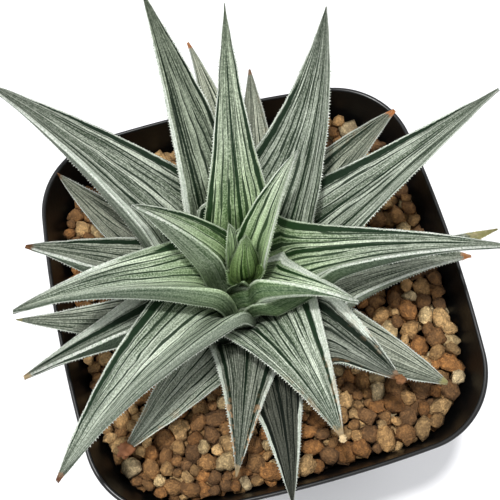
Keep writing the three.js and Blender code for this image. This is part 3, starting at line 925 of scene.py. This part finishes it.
def makeLeaf(number, values):
    leaf = {**leafDefaults, **values}
    draw = random.Random(blade["firstSeed"] + number)
    shift = draw.uniform(0, blade["shiftSpread"])
    rings, lines, data = sweepBlade(leaf, shift)
    pressUnder(rings, lines, leaf["keel"])
    points, faces = loft(rings)
    first = len(placed["points"])
    placed["points"] += points
    placed["faces"] += [tuple(first + k for k in face) for face in faces]
    right, left, keel = lines
    toothed = [right, left]
    if leaf["seamless"]:
        toothed = [right if leaf["keel"] > 0 else left]
    if abs(leaf["keel"]) > blade["sideKeel"]:
        toothed.append(keel)
    extraPoints, extraFaces, extraShares = [], [], []
    for line in toothed:
        addTeeth(line, extraPoints, extraFaces, extraShares, draw)
    if leaf["knob"]:
        addKnob(rings[-1], leaf["knob"], extraPoints, extraFaces, extraShares, shift)
    faces += [tuple(len(points) + k for k in face) for face in extraFaces]
    made = makeObject("leaf_blade_%02d" % number, points + extraPoints, faces, leafSkin)
    setLeafData(made, leaf, number, data, extraShares)
    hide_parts("leaf_%02d" % number)
    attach(made, "root")


leafColors = {
    "green": (0.065, 0.095, 0.055),
    "greyGreen": (0.06, 0.07, 0.05),
    "silver": (0.84, 0.9, 0.76),
    "greySilver": (0.64, 0.66, 0.5),
    "greenSilver": (0.77, 0.9, 0.6),
    "line": (0.009, 0.022, 0.01),
    "side": (0.012, 0.028, 0.014),
    "sideSheen": (0.22, 0.26, 0.19),
    "lush": (0.045, 0.125, 0.012),
    "lushBright": (0.38, 0.6, 0.16),
    "lushLine": (0.014, 0.045, 0.006),
    "horn": (0.5, 0.57, 0.46),
    "paleStripe": (0.92, 0.96, 0.86),
    "rim": (0.94, 0.97, 0.88),
    "rimGreen": (0.34, 0.54, 0.18),
    "rimGrey": (0.4, 0.42, 0.38),
    "sore": (0.34, 0.14, 0.05),
    "scab": (0.75, 0.52, 0.3),
    "husk": (0.85, 0.7, 0.5),
}
leafSkin = Skin("leaf_skin", Roughness=0.55, IOR=1.4, Specular_IOR_Level=0.2)
# across runs from -1 at one edge to 1 at the other, along and reach from the foot as a share and in mm,
# girth and lane round the section in mm, lane as if the blade were evenly wide, and edge away from a
# toothed line, with 1 at the end of its margin
across, along, girth, lane, reach, edge, facing = (
    leafSkin.attribute(name)
    for name in ("across", "along", "girth", "lane", "reach", "edge", "facing"))
seed, veins, frost, grey, toneAndShadow, rust, facet, heart, dry = (
    leafSkin.attribute(name)
    for name in ("seed", "veins", "frost", "grey", "toneAndShadow", "rust", "facet", "heart", "dry"))


def mixed(factor, a, b):
    a, b = (leafColors[color] if isinstance(color, str) else color for color in (a, b))
    return leafSkin.mix(factor, a, b)


# Noise over places in mm, usually stretched along the blade
def streaks(x, y, z, detail=2, roughness=0.5):
    return leafSkin.noise(leafSkin.vector(x, y, z), 1.0, detail, roughness)


# Fine silver scales in rows, and ribs along the blade
rows = streaks(girth * 2.9, reach * 2.6, seed * 9, 2, 0.6)
speck = leafSkin.step(rows, 0.42, 0.62)
ribbed = leafSkin.step(streaks(lane * 2.4, reach * 0.08, seed * 2), 0.34, 0.64)

# Lanes from foot to tip, each with its own tone, and dark lines between them
sway = streaks(lane * 0.3, reach * 0.07, seed * 3)
cell = {"W": lane * 0.5 + seed * 13 + sway * 1.4, "Scale": 1.0, "Randomness": 0.9}
gap = leafSkin.node("ShaderNodeTexVoronoi", cell, "Distance", voronoi_dimensions="1D",
                    feature="DISTANCE_TO_EDGE")
laneColor = leafSkin.node("ShaderNodeTexVoronoi", cell, "Color", voronoi_dimensions="1D")
laneTone = leafSkin.parts(laneColor)[0]
swell = leafSkin.step(streaks(lane * 0.8, reach * 0.07, seed * 5, 1), 0.36, 0.66)
frayed = streaks(lane * 2, reach * 1.1, seed * 6)
strokes = 1 - leafSkin.step(gap - swell * veins * 0.13 + (frayed - 0.5) * 0.06, 0.03, 0.08)
fine = streaks(lane * 1.6 + seed * 13, reach * 0.04 + seed, seed * 7, 1)
hair = 1 - leafSkin.step((fine - 0.5).size(), 0.012, 0.045)
halo = leafSkin.step(gap, 0.28, 0.12) * leafSkin.step(gap, 0.03, 0.08)


# The broad stripes of a blade: 1 where one of them runs
def stripes(name):
    places = leafSkin.parts(leafSkin.attribute(name, "Vector"))
    fades = leafSkin.parts(leafSkin.attribute(name + "Gone", "Vector"))
    a, b, c = (place.size() + fade for place, fade in zip(places, fades))
    ragged = streaks(lane * 0.8, reach * 0.5, seed * 11)
    return 1 - leafSkin.step(a.least(b).least(c) + (ragged - 0.5) * 0.9, 0.7, 1.1)


lines = ((strokes * 0.95).most(hair * 0.5) * (1 - facing * facet)).most(stripes("darks"))

# Silver over green, darker on the side between two toothed lines and lush near the heart
under = mixed(grey, "green", "greyGreen")
bright = mixed(-grey, mixed(grey, "silver", "greySilver"), "greenSilver")
dusting = laneTone * 0.42 + ribbed * 0.24 + speck * 0.28 + halo * 0.22 + frost - 0.12
coat = mixed(lines, mixed(dusting, under, bright), "line")
sheen = (ribbed * 0.35 + speck * 0.4) * (1.4 - facet * 0.9)
coat = mixed(facing * facet, coat, mixed(sheen, "side", "sideSheen"))
lush = mixed(speck * 0.25 + ribbed * 0.35 + laneTone * 0.4, "lush", "lushBright")
coat = mixed(heart * (0.9 - facing * 0.6), coat, mixed(lines, lush, "lushLine"))
# Painted shade: the colour darkens over the first 16 mm of a blade, towards its foot in the heart
# Scaled by each blade's brightness factor: partly its own tone, partly painted shadow from the blades
# above
coat = leafSkin.scale(coat, toneAndShadow * (leafSkin.step(reach, 0, 16) * 0.65 + 0.35))

# Pale stripes, and the horny margin along the toothed lines
coat = mixed(stripes("pales") * 0.85, coat, mixed(speck * 0.5 + ribbed * 0.5, "horn", "paleStripe"))
fray = streaks(reach * 2.2, seed * 5, girth)
margin = 1 - leafSkin.step(edge + (fray - 0.5) * 1.6, 0.5, 1.0)
rim = mixed(leafSkin.step(fray, 0.36, 0.6), "horn", "rim")
rim = mixed(grey * 0.6, mixed(heart * 0.7, rim, "rimGreen"), "rimGrey")
coat = mixed(margin * (0.95 - heart * 0.4), coat, rim)

# Sores towards the tip, and the dried tip itself
patch = streaks(girth * 0.9, reach * 0.7, seed * 4, 3)
sore = leafSkin.step(patch, 0.5, 0.6) * leafSkin.step(across.size(), 0.5, 0.85)
sore = sore * leafSkin.step(along, 0.5, 0.8) * rust
coat = mixed(sore * 0.85, coat, mixed(rows, "sore", "scab"))
dried = leafSkin.step(dry + (patch - 0.5) * 1.2, 0.1, 0.5)
husk = mixed(leafSkin.step(patch, 0.45, 0.65) * 0.3, leafSkin.attribute("tint", "Color"), "husk")
leafSkin.into("Base Color", mixed(dried, coat, husk))
leafSkin.into("Roughness", speck * 0.1 - lines * 0.1 + 0.5)
leafSkin.into("Normal", leafSkin.bump(speck * 0.35 - lines * 1.1 + ribbed * 0.5, 0.00012))

for number, values in enumerate(leaves, 1):
    makeLeaf(number, values)
print("leaves made:", len(leaves))

# Floor, with its half size in mm, and lights, in metres
studio = {
    "floorHalf": 3000,
    "floorTone": (0.93, 0.93, 0.94, 1),
    "aim": (0, 0, 0.07),
    "lights": {
        "key": {"direction": (-0.11, 0.05, 1), "distance": 1.5, "size": 0.1, "power": 16.5},
        "fill": {"direction": (-1, 0.5, 1), "distance": 1.2, "size": 0.8, "power": 2},
    },
    "sky": (0.97, 0.98, 1, 1),
    "skyStrength": 0.9,
}
paper = Skin("floor_paper", Roughness=0.9, Base_Color=studio["floorTone"])
half = studio["floorHalf"]
corners = [(-half, -half, 0), (half, -half, 0), (half, half, 0), (-half, half, 0)]
floor = makeObject("floor", corners, [(0, 1, 2, 3)], paper, False)

for name, settings in studio["lights"].items():
    data = bpy.data.lights.new(name, "AREA")
    data.shape = "DISK"
    data.size = settings["size"]
    data.energy = settings["power"]
    light = bpy.data.objects.new(name, data)
    aim = Vector(studio["aim"])
    light.location = aim + Vector(settings["direction"]).normalized() * settings["distance"]
    turnTowards(light, aim)
    bpy.context.collection.objects.link(light)

world = bpy.data.worlds.new("studio")
world.use_nodes = True
background = world.node_tree.nodes["Background"]
background.inputs["Color"].default_value = studio["sky"]
background.inputs["Strength"].default_value = studio["skyStrength"]
bpy.context.scene.world = world
bpy.context.scene.view_settings.view_transform = "Standard"
print("studio set")
